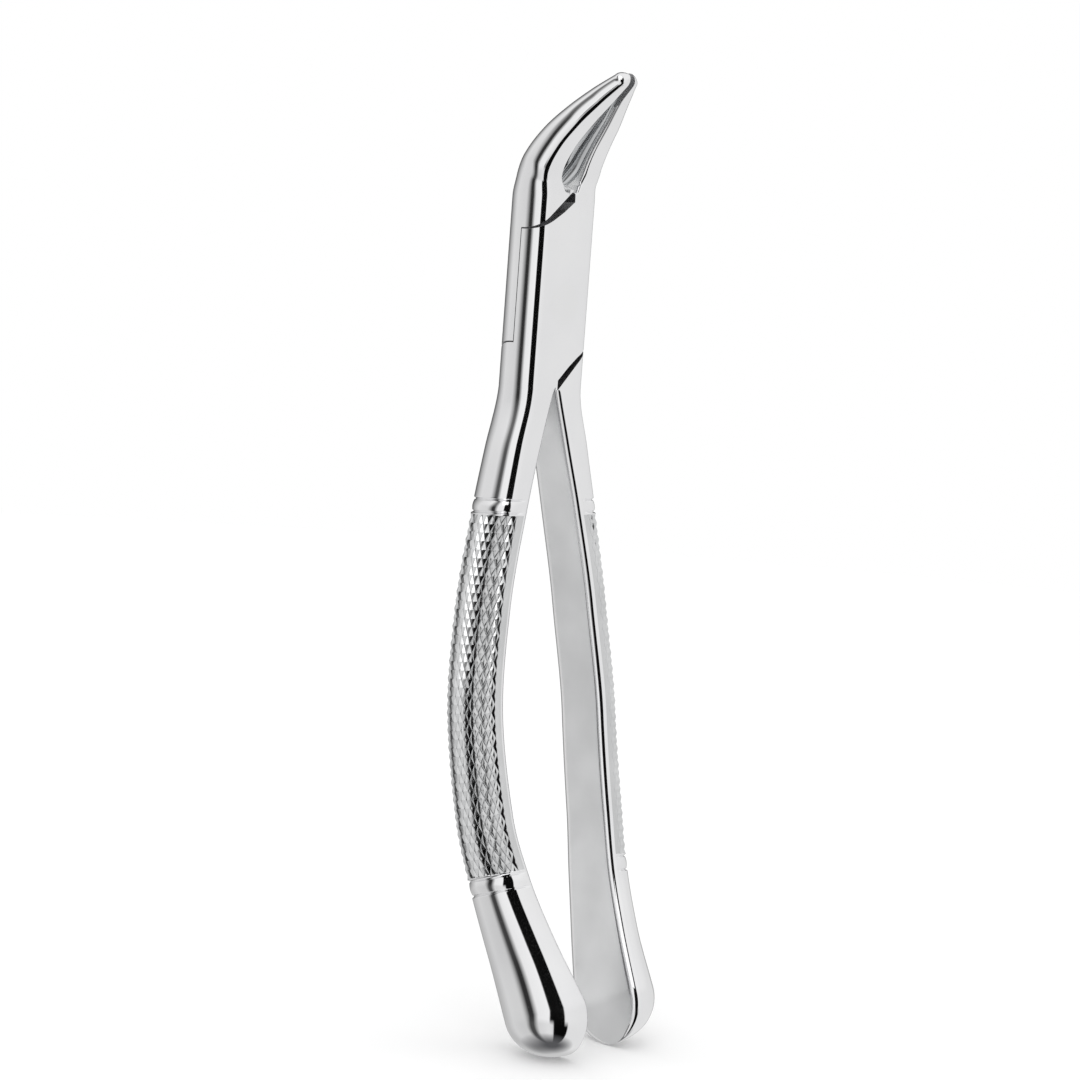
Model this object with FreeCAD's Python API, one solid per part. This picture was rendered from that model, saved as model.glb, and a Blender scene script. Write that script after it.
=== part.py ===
"""Dental extraction forceps, upper pattern, in three pieces: two forged halves and the rivet.

The origin is the centre of the rivet. +Z runs up towards the beaks, -Y is the front, where the
front half's layer of the joint shows, and the handles spread along X. Each half crosses over at
the joint: the front half has the left handle and the right beak. Every cross-section is a
rounded D, flat towards the middle of the instrument, on a spine that bends in the YZ plane.
"""

import FreeCAD
import Part

import math
import os
from dataclasses import dataclass, fields, replace

Vector = FreeCAD.Vector

# Joint
JOINT_WIDTH = 15.8  # across both sides, along X
JOINT_THICKNESS = 8.8  # both layers, between the two ground faces
JOINT_FLAT = 0.66  # share of the half width where the faces are flat
LAP_GAP = 0.06  # between the two layers

# Shoulders, where one layer ends and the other half's full thickness begins
BEAK_SHOULDER_OUT = 12.9  # height at the outer side
BEAK_SHOULDER_IN = 18.9  # height in the middle
BEAK_SHOULDER_REACH = 0.9  # how far past the middle it ends
BEAK_SHOULDER_OPEN = 1.3  # width of the wedge gap in the middle
BEAK_NECK_GAP = 0.5  # between the two beaks at their root
HANDLE_SHOULDER_OUT = 7.2  # depth at the outer side, below the rivet
HANDLE_SHOULDER_IN = 14.4  # depth in the middle
HANDLE_SHOULDER_OPEN = 0.9
HANDLE_NECK_GAP = 0.3  # between the two handles where they meet
SHOULDER_GAP = 0.16  # width of both gaps at the outer side

# Rivet
RIVET_RADIUS = 2.5
RIVET_HEAD_RADIUS = 3.7
RIVET_HEAD_DEPTH = 1.2
RIVET_FIT = 0.03  # radial running clearance in the rear half

# Handles
HANDLE_END = 124.5  # depth of the centre of the rounded end
EDGE_CHAMFER = 0.45  # along the edges of the inner flats
RING_SHARES = (0.184, 0.204, 0.790, 0.812)  # grooves round each handle, as shares of its length
RING_WIDTH = 0.7
RING_CUT = 0.3

# Beaks
BEAK_TOP = 39.6  # height of the last section before the rounded tip
SCOOP_SHARE = 0.37  # radius of the hollow in each beak, as a share of the beak's width
SCOOP_CUT = 1.5  # how deep the hollow goes into the inner face
SCOOP_LOW = 0.04  # where the hollow starts and ends, as shares of the beak's length
SCOOP_HIGH = 0.92

FULLNESS = 2.3  # exponent of the outer curve: 2 is an ellipse
SECTION_STEP = 4.0  # spacing of the lofted sections
END_ANGLES = (20, 38, 54, 68, 79, 86)  # degrees round a rounded end at which it has a section
FAR = 200.0  # beyond every solid


@dataclass(frozen=True)
class Station:
    """Half of the instrument's cross-section at one height."""

    height: float
    centre: float  # Y of the spine
    gap: float  # from the middle plane to the inner flat
    depth: float  # from the inner flat to the outermost point, along X
    width: float  # between the front and the rear
    flat: float  # share of the depth where the front and the rear are flat


HALF_JOINT = JOINT_WIDTH / 2
BEAK_ROOT = BEAK_SHOULDER_IN + BEAK_SHOULDER_OPEN
HANDLE_ROOT = HANDLE_SHOULDER_IN + HANDLE_SHOULDER_OPEN
ROOT_GAP = BEAK_SHOULDER_REACH + 0.05
FORK_GAP = HANDLE_NECK_GAP / 2


def below(share):
    """The height at a share of the way from the handle's root to the centre of its end."""
    return -HANDLE_ROOT - share * (HANDLE_END - HANDLE_ROOT)


def above(share):
    """The height at a share of the way from the beak's root to its tip."""
    return BEAK_ROOT + share * (BEAK_TOP - BEAK_ROOT)


HANDLE = (
    Station(below(0), 0.0, FORK_GAP, HALF_JOINT - FORK_GAP, JOINT_THICKNESS, JOINT_FLAT),
    Station(below(0.098), -0.3, 3.3, 7.2, 9.3, 0.6),
    Station(below(0.199), -0.8, 6.4, 6.8, 9.9, 0.52),
    Station(below(0.364), -2.0, 10.5, 6.7, 10.4, 0.4),
    Station(below(0.547), -4.4, 12.8, 6.7, 10.6, 0.33),
    Station(below(0.702), -7.9, 12.2, 7.0, 10.9, 0.3),
    Station(below(0.803), -11.3, 10.6, 7.1, 11.7, 0.27),
    Station(below(0.904), -15.8, 8.5, 7.6, 13.6, 0.2),
    Station(below(1), -20.8, 6.2, 9.4, 16.0, 0.15),
)

BEAK = (
    Station(above(0), 0.0, ROOT_GAP, HALF_JOINT - ROOT_GAP, JOINT_THICKNESS, JOINT_FLAT),
    Station(above(0.077), -0.5, 2.2, 5.6, 8.8, 0.56),
    Station(above(0.247), -2.2, 2.8, 5.1, 8.6, 0.48),
    Station(above(0.454), -5.1, 2.6, 4.8, 8.0, 0.4),
    Station(above(0.66), -8.8, 1.9, 4.4, 6.8, 0.32),
    Station(above(0.84), -12.2, 1.0, 3.5, 5.2, 0.25),
    Station(above(1), -15.2, 0.5, 1.9, 3.0, 0.2),
)


def slopes(xs, ys):
    """Slopes of a smooth curve through the points that never overshoots them."""
    steps = [(ys[i + 1] - ys[i]) / (xs[i + 1] - xs[i]) for i in range(len(xs) - 1)]
    inner = [
        0.0 if before * after <= 0 else 2 * before * after / (before + after)
        for before, after in zip(steps, steps[1:])
    ]
    return [steps[0]] + inner + [steps[-1]]


def eased(xs, ys, x):
    """The value at x of the smooth curve through the points."""
    i = max(k for k in range(len(xs) - 1) if k == 0 or xs[k] <= x)
    span = xs[i + 1] - xs[i]
    u = (x - xs[i]) / span
    at = slopes(xs, ys)
    return (
        (1 + 2 * u) * (1 - u) ** 2 * ys[i]
        + u * (1 - u) ** 2 * span * at[i]
        + u**2 * (3 - 2 * u) * ys[i + 1]
        + u**2 * (u - 1) * span * at[i + 1]
    )


class Limb:
    """One side of the instrument between two ends, as a smooth run of stations."""

    def __init__(self, stations):
        self.stations = stations
        self.along = [0.0]
        for a, b in zip(stations, stations[1:]):
            length = math.hypot(b.height - a.height, b.centre - a.centre)
            self.along.append(self.along[-1] + length)
        self.length = self.along[-1]

    def at(self, s):
        """The station at the distance s along the limb."""
        values = {
            field.name: eased(self.along, [getattr(p, field.name) for p in self.stations], s)
            for field in fields(Station)
        }
        return Station(**values)

    def direction(self, s):
        """The limb's direction at s, away from the joint."""
        step = 0.05
        a = self.at(max(0.0, s - step))
        b = self.at(min(self.length, s + step))
        return Vector(0, b.centre - a.centre, b.height - a.height).normalize()

    def distance(self, height):
        """The distance along the limb of the given height."""
        low, high = 0.0, self.length
        for _ in range(40):
            middle = (low + high) / 2
            if abs(self.at(middle).height) < abs(height):
                low = middle
            else:
                high = middle
        return middle

    def wire(self, station, along, shift=0.0, trim=0.0):
        """A closed section, square to the direction along, moved by shift and thinner by trim."""
        front = Vector(0, -abs(along.z), along.y * math.copysign(1, along.z))
        base = Vector(0, station.centre, station.height) + along * shift
        half = station.width / 2 - trim
        inner = station.gap
        depth = station.depth - trim
        chamfer = min(EDGE_CHAMFER, half / 4, depth / 4)
        flat = inner + max(station.flat * depth, 1.5 * chamfer)

        def point(x, v):
            return base + Vector(x, 0, 0) + front * v

        def outer(angle):
            cos = max(0.0, math.cos(angle)) ** (2 / FULLNESS)
            sin = math.copysign(abs(math.sin(angle)) ** (2 / FULLNESS), math.sin(angle))
            return point(flat + (inner + depth - flat) * cos, half * sin)

        curve = Part.BSplineCurve()
        curve.interpolate([outer(math.radians(90 - 15 * i)) for i in range(13)])
        corners = [
            point(flat, -half),
            point(inner + chamfer, -half),
            point(inner, -half + chamfer),
            point(inner, half - chamfer),
            point(inner + chamfer, half),
            point(flat, half),
        ]
        lines = [Part.makeLine(a, b) for a, b in zip(corners, corners[1:])]
        return Part.Wire([curve.toShape()] + lines)

    def solid(self, round_end):
        """The limb as a solid, closed by a rounded end of the given length."""
        count = round(self.length / SECTION_STEP)
        wires = []
        for i in range(count + 1):
            s = self.length * i / count
            wires.append(self.wire(self.at(s), self.direction(s)))
        last = self.at(self.length)
        along = self.direction(self.length)
        for angle in END_ANGLES:
            size = math.cos(math.radians(angle))
            smaller = replace(last, depth=last.depth * size, width=last.width * size)
            shift = round_end * math.sin(math.radians(angle))
            wires.append(self.wire(smaller, along, shift))
        return Part.makeLoft(wires, True, False)

    def groove(self, height):
        """What a ring groove at the given height takes away."""
        s = self.distance(height)
        station = self.at(s)
        along = self.direction(s)
        start = along * (-RING_WIDTH / 2)
        outside = Part.Face(self.wire(station, along, 0.0, -1.0))
        inside = Part.Face(self.wire(station, along, 0.0, RING_CUT))
        ring = outside.cut(inside)
        ring.translate(start)
        slab = ring.extrude(along * RING_WIDTH)
        keep = Part.makeBox(FAR, FAR, FAR, Vector(station.gap + EDGE_CHAMFER, -FAR / 2, -FAR / 2))
        keep.translate(Vector(0, 0, height))
        return slab.common(keep)


def mirrored(shape):
    """The shape on the other side of the middle plane."""
    return shape.mirror(Vector(0, 0, 0), Vector(1, 0, 0))


def scoop():
    """What hollows the inner face of the right beak: round sections that swell and fade."""
    limb = Limb(BEAK)
    low = limb.distance(above(SCOOP_LOW))
    high = limb.distance(above(SCOOP_HIGH))
    wires = []
    for i in range(11):
        angle = math.pi * (i + 0.3) / 10.6
        s = low + (high - low) * (1 - math.cos(angle)) / 2
        station = limb.at(s)
        swell = math.sin(angle)
        radius = SCOOP_SHARE * station.width * swell
        centre = Vector(station.gap + SCOOP_CUT * swell - radius, station.centre, station.height)
        wires.append(Part.Wire(Part.makeCircle(radius, centre, limb.direction(s))))
    return Part.makeLoft(wires, True, False)


def joint_block():
    """The joint before it is parted: a straight bar with rounded sides, ground flat."""
    foot = Limb(HANDLE).wire(HANDLE[0], Vector(0, 0, -1))
    height = BEAK_ROOT + HANDLE_ROOT
    right = Part.Face(foot).extrude(Vector(0, 0, height))
    middle = 2 * (FORK_GAP + EDGE_CHAMFER)
    low = Vector(-middle / 2, -JOINT_THICKNESS / 2, -HANDLE_ROOT)
    bar = Part.makeBox(middle, JOINT_THICKNESS, height, low)
    return bar.fuse([right, mirrored(right)]).removeSplitter()


def handle():
    """The right handle with its ring grooves."""
    limb = Limb(HANDLE)
    shape = limb.solid(HANDLE[-1].width / 2)
    for share in RING_SHARES:
        shape = shape.cut(limb.groove(below(share)))
    return shape


def beak():
    """The right beak with its hollow."""
    return Limb(BEAK).solid(BEAK[-1].width / 2).cut(scoop())


def prism(outline, low, high):
    """The XZ outline drawn along Y from low to high."""
    points = [Vector(x, low, z) for x, z in outline + outline[:1]]
    return Part.Face(Part.makePolygon(points)).extrude(Vector(0, high - low, 0))


def own_layer():
    """What the front half takes of the front layer: all but the left beak and right handle."""
    out = HALF_JOINT
    return [
        (-FAR, BEAK_SHOULDER_OUT),
        (-out, BEAK_SHOULDER_OUT),
        (BEAK_SHOULDER_REACH, BEAK_SHOULDER_IN),
        (BEAK_SHOULDER_REACH, FAR),
        (FAR, FAR),
        (FAR, -HANDLE_SHOULDER_OUT),
        (out, -HANDLE_SHOULDER_OUT),
        (-FORK_GAP, -HANDLE_SHOULDER_IN),
        (-FORK_GAP, -FAR),
        (-FAR, -FAR),
    ]


def beak_in_other_layer(inner):
    """The part of the rear layer that the root of the front half's beak fills, up to inner."""
    out = HALF_JOINT
    low = BEAK_SHOULDER_OUT + SHOULDER_GAP
    slope = (BEAK_ROOT - low) / (out - BEAK_NECK_GAP + BEAK_SHOULDER_REACH)
    return [
        (FAR, FAR),
        (inner, FAR),
        (inner, low + slope * (out - inner)),
        (out, low),
        (FAR, low),
    ]


def handle_in_other_layer():
    """The part of the rear layer that the head of the front half's handle fills."""
    out = HALF_JOINT
    return [
        (-FAR, -FAR),
        (-FORK_GAP, -FAR),
        (-FORK_GAP, -HANDLE_ROOT),
        (-out, -HANDLE_SHOULDER_OUT - SHOULDER_GAP),
        (-FAR, -HANDLE_SHOULDER_OUT - SHOULDER_GAP),
    ]


def half(facing):
    """One half: facing is 1 for the front half and -1 for the rear half."""

    def taken(outline, low, high):
        turned = [(x * facing, z) for x, z in outline]
        return joint_block().common(prism(turned, *sorted((low * facing, high * facing))))

    lap = LAP_GAP / 2
    crossing = BEAK_NECK_GAP - BEAK_SHOULDER_REACH
    layer = taken(own_layer(), -FAR, -lap)
    root_core = taken(beak_in_other_layer(BEAK_SHOULDER_REACH), -lap, lap)
    beak_root = taken(beak_in_other_layer(crossing), lap, FAR)
    handle_head = taken(handle_in_other_layer(), -lap, FAR)
    joint = layer.fuse([root_core, beak_root, handle_head]).removeSplitter()
    own_beak = beak() if facing > 0 else mirrored(beak())
    own_handle = mirrored(handle()) if facing > 0 else handle()
    return joint.fuse([own_beak, own_handle])


def rivet(clearance):
    """The rivet with its two flush heads, larger all over by the clearance."""
    face = JOINT_THICKNESS / 2
    over = 1.0 if clearance else 0.0
    shank = RIVET_RADIUS + clearance
    head = RIVET_HEAD_RADIUS + clearance
    neck = face - RIVET_HEAD_DEPTH - clearance
    profile = [(0.0, -face - over)]
    if over:
        profile.append((head, -face - over))
    profile += [(head, -face), (shank, -neck), (shank, neck), (head, face)]
    if over:
        profile.append((head, face + over))
    profile.append((0.0, face + over))
    points = [Vector(r, y, 0) for r, y in profile + profile[:1]]
    return Part.Face(Part.makePolygon(points)).revolve(Vector(0, 0, 0), Vector(0, 1, 0), 360)


def build():
    """The named pieces of the instrument."""
    return {
        "front_half": half(1).cut(rivet(0.0)),
        "rear_half": half(-1).cut(rivet(RIVET_FIT)),
        "pivot_pin": rivet(0.0),
    }


os.makedirs("parts", exist_ok=True)
for name, shape in build().items():
    solids = shape.Solids
    print(name, shape.isValid(), len(solids), round(shape.Volume, 1), shape.BoundBox)
    shape.exportStep("parts/" + name + ".step")
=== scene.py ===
"""Dental extraction forceps: the visible shapes and finishes of its two halves and its rivet.

Sizes in the dataclasses are millimetres, and the meshes are written in metres, in the frame's axes:
the rivet is at the origin and lies along Y, +Z runs up to the beaks, and -Y is the front.
"""

import logging
import math
from collections.abc import Iterator
from contextlib import contextmanager
from dataclasses import dataclass, fields, replace
from enum import Enum

import bpy
import numpy as np
from bpy.types import Material, Mesh, Node, NodeSocket, NodeTree, Object, World
from mathutils import Matrix, Vector


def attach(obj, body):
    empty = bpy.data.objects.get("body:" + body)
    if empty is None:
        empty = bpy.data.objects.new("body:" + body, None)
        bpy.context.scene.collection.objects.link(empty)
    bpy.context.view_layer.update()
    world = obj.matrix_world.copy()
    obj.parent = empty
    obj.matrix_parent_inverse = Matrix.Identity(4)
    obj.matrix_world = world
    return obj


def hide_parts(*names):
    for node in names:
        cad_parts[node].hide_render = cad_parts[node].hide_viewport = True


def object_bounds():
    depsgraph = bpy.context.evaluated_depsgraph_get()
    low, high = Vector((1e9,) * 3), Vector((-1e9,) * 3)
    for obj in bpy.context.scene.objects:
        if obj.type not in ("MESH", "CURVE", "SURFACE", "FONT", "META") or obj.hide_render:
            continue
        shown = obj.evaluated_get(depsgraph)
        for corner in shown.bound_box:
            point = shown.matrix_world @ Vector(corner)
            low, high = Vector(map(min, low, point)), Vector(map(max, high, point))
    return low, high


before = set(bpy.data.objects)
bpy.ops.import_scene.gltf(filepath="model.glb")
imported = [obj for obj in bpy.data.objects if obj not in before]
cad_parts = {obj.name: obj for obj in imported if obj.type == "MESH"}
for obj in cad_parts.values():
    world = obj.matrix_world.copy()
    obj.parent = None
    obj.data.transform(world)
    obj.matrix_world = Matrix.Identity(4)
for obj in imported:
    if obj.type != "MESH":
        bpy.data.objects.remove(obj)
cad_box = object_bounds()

log = logging.getLogger("forceps")

MM = 0.001
FAR = 200.0
SMOOTH_ANGLE = math.radians(18)
NEARLY_FLAT = 89.5
SAME_PLACE = 1e-7
SPIN_SEAM = 1e-6
SLIVER = 2e-6

Pair = tuple[float, float]
Triple = tuple[float, float, float]


# ---- sizes


class Face(Enum):
    """The finishes that the faces of a half take, in the order of its material slots, HOLLOW and GRIP
    with painted shade in their colour.
    """

    POLISHED = 0
    FLAT = 1
    HOLLOW = 2
    GRIP = 3
    GROUND = 4


class Side(Enum):
    """The side of the instrument that a limb is on."""

    LEFT = -1
    RIGHT = 1


@dataclass(frozen=True)
class Station:
    """Half of the instrument's cross-section at one height, seen along the limb."""

    height: float
    centre: float
    gap: float
    depth: float
    width: float
    flat: float


@dataclass(frozen=True)
class Joint:
    """The sizes of the straight lap joint in the middle."""

    width: float = 15.8
    thickness: float = 8.8
    flat: float = 0.66
    lap: float = 0.08
    overlap: float = 0.6
    seam_wear: float = 0.9
    seam_shares: tuple[Pair, ...] = ((0.0, 0.1), (0.22, 0.5), (0.42, 0.85), (0.7, 1.0), (1.0, 0.8))
    beak_out: float = 12.9
    beak_in: float = 18.9
    beak_reach: float = 0.9
    beak_open: float = 1.3
    beak_neck: float = 0.5
    handle_out: float = 7.2
    handle_in: float = 14.4
    handle_open: float = 0.9
    fork: float = 0.15
    shoulder: float = 0.16

    def seam(self, outer: Pair, inner: Pair, sign: float) -> list[Pair]:
        """The edge of the front layer along a seam, worn back in its middle.

        Args:
            outer: The seam's end at the outside, as X and Z.
            inner: Its end at the middle.
            sign: Whether the wear goes up (1) or down (-1).

        Returns:
            The corners of the worn edge.
        """
        edge = []
        for share, wear in self.seam_shares:
            x = outer[0] + share * (inner[0] - outer[0])
            z = outer[1] + share * (inner[1] - outer[1])
            edge.append((x, z + sign * wear * self.seam_wear))
        return edge

    @property
    def half(self) -> float:
        """Half of the joint's width."""
        return self.width / 2

    @property
    def beak_root(self) -> float:
        """The height where the beaks leave the joint."""
        return self.beak_in + self.beak_open

    @property
    def handle_root(self) -> float:
        """The depth where the handles leave the joint."""
        return self.handle_in + self.handle_open

    def block(self, height: float, gap: float) -> Station:
        """One section of the joint's block.

        Args:
            height: Where the section is.
            gap: How far from the middle plane its outline starts.

        Returns:
            The section.
        """
        edge = self.fork + self.flat * (self.half - self.fork)
        depth = self.half - gap
        return Station(height, 0.0, gap, depth, self.thickness, (edge - gap) / depth)


@dataclass(frozen=True)
class Shape:
    """What the sections of both limbs share."""

    fullness: float = 2.3
    edge_cells: int = 6
    strip_cells: int = 3
    hollow_cells: int = 18
    outer_cells: int = 104
    cell: int = 8

    @property
    def inner_cells(self) -> int:
        """The number of cells across the inner flat."""
        return 2 * self.strip_cells + self.hollow_cells

    @property
    def columns(self) -> int:
        """The number of cells all round a section, with its two rounded edges."""
        return self.inner_cells + self.outer_cells + 2 * self.edge_cells

    @property
    def outer_start(self) -> int:
        """The first column of the outside."""
        return self.inner_cells + self.edge_cells


JOINT = Joint()
SHAPE = Shape()


# ---- limbs


@dataclass(frozen=True)
class Ring:
    """One ring of a limb's mesh.

    A shift moves it along the limb, a row gives its place in the chequering, a cut and a swell are
    the depths of a ring groove and of the hollow, and a reach takes its inner face past the middle.
    """

    station: Station
    along: Pair
    shift: float = 0.0
    row: float = -1.0
    cut: float = 0.0
    swell: float = 0.0
    reach: float = 0.0
    edge: float = 0.6


class Spine:
    """A smooth run of stations, from the joint outwards."""

    probe = 0.2
    trial_points = 2001

    def __init__(self, stations: list[Station]) -> None:
        """Measures the run.

        Args:
            stations: The sections, the one at the joint first.
        """
        self.names = [entry.name for entry in fields(Station)]
        self.values = np.array([[getattr(s, name) for name in self.names] for s in stations])
        steps = np.hypot(np.diff(self.values[:, 0]), np.diff(self.values[:, 1]))
        self.along = np.concatenate([[0.0], np.cumsum(steps)])
        slopes = np.diff(self.values, axis=0) / steps[:, None]
        before, after = slopes[:-1], slopes[1:]
        total = np.where(before * after > 0, before + after, 1.0)
        inner = np.where(before * after > 0, 2 * before * after / total, 0.0)
        start = slopes[:1].copy()
        start[0, self.names.index("centre")] = 0.0
        start[0, self.names.index("depth")] = -start[0, self.names.index("gap")]
        self.slopes = np.vstack([start, inner, slopes[-1:]])
        self.length = float(self.along[-1])

    def at(self, s: float) -> Station:
        """The section at the distance s along the run."""
        i = int(np.clip(np.searchsorted(self.along, s, "right") - 1, 0, len(self.along) - 2))
        span = self.along[i + 1] - self.along[i]
        u = (s - self.along[i]) / span
        value = (
            (1 + 2 * u) * (1 - u) ** 2 * self.values[i]
            + u * (1 - u) ** 2 * span * self.slopes[i]
            + u**2 * (3 - 2 * u) * self.values[i + 1]
            + u**2 * (u - 1) * span * self.slopes[i + 1]
        )
        return Station(**dict(zip(self.names, map(float, value))))

    def direction(self, s: float, turn_in: float) -> Pair:
        """The limb's direction at s, as Y and Z, upright where it leaves the joint.

        Args:
            s: The distance along the run.
            turn_in: The distance over which it turns from upright to its own direction.

        Returns:
            The Y and Z of a unit vector away from the joint.
        """
        a = self.at(max(0.0, s - self.probe))
        b = self.at(min(self.length, s + self.probe))
        own = np.array([b.centre - a.centre, b.height - a.height])
        own /= np.linalg.norm(own)
        share = smooth(s / turn_in)
        mixed = share * own + (1 - share) * np.array([0.0, math.copysign(1.0, own[1])])
        mixed /= np.linalg.norm(mixed)
        return float(mixed[0]), float(mixed[1])

    def distance(self, height: float) -> float:
        """The distance along the run of the given height."""
        trial = np.linspace(0, self.length, self.trial_points)
        heights = [abs(self.at(s).height) for s in trial]
        return float(np.interp(abs(height), heights, trial))


def smooth(value: float) -> float:
    """An ease from 0 to 1 as the value goes from 0 to 1."""
    u = min(1.0, max(0.0, value))
    return u * u * (3 - 2 * u)


def resampled(path: np.ndarray, count: int) -> np.ndarray:
    """Points equally far apart along a path.

    Args:
        path: The path's own points, as rows.
        count: How many points to give.

    Returns:
        The new points, as rows.
    """
    steps = np.concatenate([[0.0], np.cumsum(np.linalg.norm(np.diff(path, axis=0), axis=1))])
    places = np.linspace(0, steps[-1], count)
    return np.stack([np.interp(places, steps, path[:, k]) for k in range(2)], axis=1)


@dataclass(frozen=True)
class Chequering:
    """The chequered grip: flat-topped diamonds between V-grooves."""

    rows: int = 21
    groove_depth: float = 0.42
    groove_half: float = 0.46
    fade_start: int = 3
    fade_cells: int = 11

    def cut(self, row: float) -> np.ndarray:
        """How deep each outer point of a ring is cut.

        Args:
            row: The ring's place in the grip, in diamonds.

        Returns:
            A depth for each of the outer points.
        """
        index = np.arange(SHAPE.outer_cells + 1)
        across = index / SHAPE.cell
        nearest = np.minimum(to_whole(across + row), to_whole(across - row))
        edge = np.minimum(index, SHAPE.outer_cells - index)
        fade = np.clip((edge - self.fade_start) / self.fade_cells, 0, 1)
        return self.groove_depth * fade * np.clip(1 - nearest / self.groove_half, 0, 1)


def to_whole(value: np.ndarray) -> np.ndarray:
    """How far each value is from the nearest whole number."""
    return np.abs(value - np.rint(value))


class Limb:
    """One side of the instrument as a closed mesh wrapped round a run of rings."""

    hollow_width = 0.72
    hollow_depth = 1.5
    hollow_least = 0.04
    hollow_taper = 0.7
    hollow_seen = 0.03
    bowl_power = 1.5
    plain_share = 0.75
    flat_least = 1.5
    edge_of_width = 7
    edge_of_depth = 4
    outline_points = 241
    ring_fade = 12

    def __init__(self, name: str, rings: list[Ring], grip: Chequering) -> None:
        """Keeps what the mesh is made from.

        Args:
            name: The name of the mesh's object.
            rings: The rings in order.
            grip: The chequering of the rings that have a row.
        """
        self.name = name
        self.rings = rings
        self.grip = grip

    @staticmethod
    def edge_points(ring: Ring, radius: float, front: bool) -> np.ndarray:
        """The points round one edge of the inner face, between its neighbours.

        Args:
            ring: The ring.
            radius: The edge's radius.
            front: Whether it is the front edge, and not the rear one.

        Returns:
            The points between the edge's two ends.
        """
        station = ring.station
        sign = 1 if front else -1
        if ring.reach:
            across = np.linspace(-ring.reach, station.gap + radius, SHAPE.edge_cells + 1)[1:-1]
            return np.stack([across[::sign], np.full(len(across), sign * station.width / 2)], axis=1)
        start, end = (180.0, 90.0) if front else (270.0, 180.0)
        turn = np.radians(np.linspace(start, end, SHAPE.edge_cells + 1)[1:-1])
        centre = np.array([station.gap + radius, sign * (station.width / 2 - radius)])
        return centre + radius * np.stack([np.cos(turn), np.sin(turn)], axis=1)

    def inner_points(self, ring: Ring, radius: float) -> np.ndarray:
        """The points across the inner face, hollowed where the ring says so."""
        station = ring.station
        rim = station.width / 2 - (0.0 if ring.reach else radius)
        reach = self.plain_share * rim
        if ring.swell > 0:
            wide = self.hollow_width * station.width / 2 * ring.swell**self.hollow_taper
            reach = max(self.hollow_least * rim, wide)
        turn = np.radians(np.linspace(-90, 90, SHAPE.hollow_cells + 1))
        middle = reach * np.sin(turn)
        strip = np.linspace(-rim, -reach, SHAPE.strip_cells + 1)[:-1]
        across = np.concatenate([strip, middle, -strip[::-1]])
        depth = np.zeros(len(across))
        bowl = np.cos(turn) ** self.bowl_power
        depth[SHAPE.strip_cells : SHAPE.strip_cells + SHAPE.hollow_cells + 1] = bowl
        depth *= self.hollow_depth * ring.swell
        face = -ring.reach if ring.reach else station.gap
        return np.stack([face + depth, across], axis=1)

    def outer_points(self, ring: Ring, radius: float) -> np.ndarray:
        """The points round the outside, with any groove or chequering cut in."""
        station = ring.station
        half = station.width / 2
        edge = station.gap + radius
        flat = station.gap + max(station.flat * station.depth, self.flat_least * radius)
        turn = np.radians(np.linspace(90, -90, self.outline_points))
        power = 2 / SHAPE.fullness
        side = flat + (station.gap + station.depth - flat) * np.clip(np.cos(turn), 0, 1) ** power
        rise = half * np.sign(np.sin(turn)) * np.abs(np.sin(turn)) ** power
        path = np.vstack([[edge, half], np.stack([side, rise], axis=1), [edge, -half]])
        points = resampled(path, SHAPE.outer_cells + 1)
        tangent = np.gradient(points, axis=0)
        normal = np.stack([-tangent[:, 1], tangent[:, 0]], axis=1)
        normal /= np.linalg.norm(normal, axis=1)[:, None]
        depth = np.zeros(len(points))
        if ring.row >= 0:
            depth += self.grip.cut(ring.row)
        if ring.cut:
            index = np.arange(len(points))
            nearest = np.minimum(index, SHAPE.outer_cells - index)
            depth += ring.cut * np.clip(nearest / self.ring_fade, 0, 1)
        return points - normal * depth[:, None]

    def section(self, ring: Ring) -> np.ndarray:
        """The points of one ring as distances sideways and to the front."""
        station = ring.station
        radius = min(ring.edge, station.width / self.edge_of_width, station.depth / self.edge_of_depth)
        return np.vstack(
            [
                self.inner_points(ring, radius),
                self.edge_points(ring, radius, True),
                self.outer_points(ring, radius),
                self.edge_points(ring, radius, False),
            ]
        )

    def points(self, side: Side) -> np.ndarray:
        """Every ring's points in space, in millimetres."""
        placed = []
        for ring in self.rings:
            y, z = ring.along
            flat = self.section(ring)
            front = np.array([0.0, -abs(z), y * math.copysign(1.0, z)])
            base = np.array([0.0, ring.station.centre, ring.station.height])
            base = base + ring.shift * np.array([0.0, y, z])
            sideways = flat[:, :1] * np.array([float(side.value), 0.0, 0.0])
            placed.append(base + sideways + flat[:, 1:] * front)
        placed = np.array(placed)
        return np.concatenate([placed, placed[:, :1]], axis=1)

    def build(self, side: Side, slots: list[Material]) -> Object:
        """Wraps a grid round the rings, closes it and splits its cells along the grooves.

        Args:
            side: The side that the limb is on.
            slots: The materials in the order of Face.

        Returns:
            The closed mesh.
        """
        rows = len(self.rings) - 1
        deselect_all()
        bpy.ops.mesh.primitive_grid_add(x_subdivisions=SHAPE.columns, y_subdivisions=rows, size=1)
        limb = bpy.context.object
        limb.name = self.name
        for material in slots:
            limb.data.materials.append(material)
        sheet = coordinates(limb.data)
        column = np.rint((sheet[:, 0] + 0.5) * SHAPE.columns).astype(int)
        row = np.rint((sheet[:, 1] + 0.5) * rows).astype(int)
        points = self.points(side)[row, column] * MM
        limb.data.vertices.foreach_set("co", points.astype(np.float32).ravel())
        self.finish_faces(limb, column, row)
        with editing(limb):
            merge_near(SAME_PLACE)
            select_open()
            bpy.ops.mesh.edge_face_add()
            face_outwards()
        return limb

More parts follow.
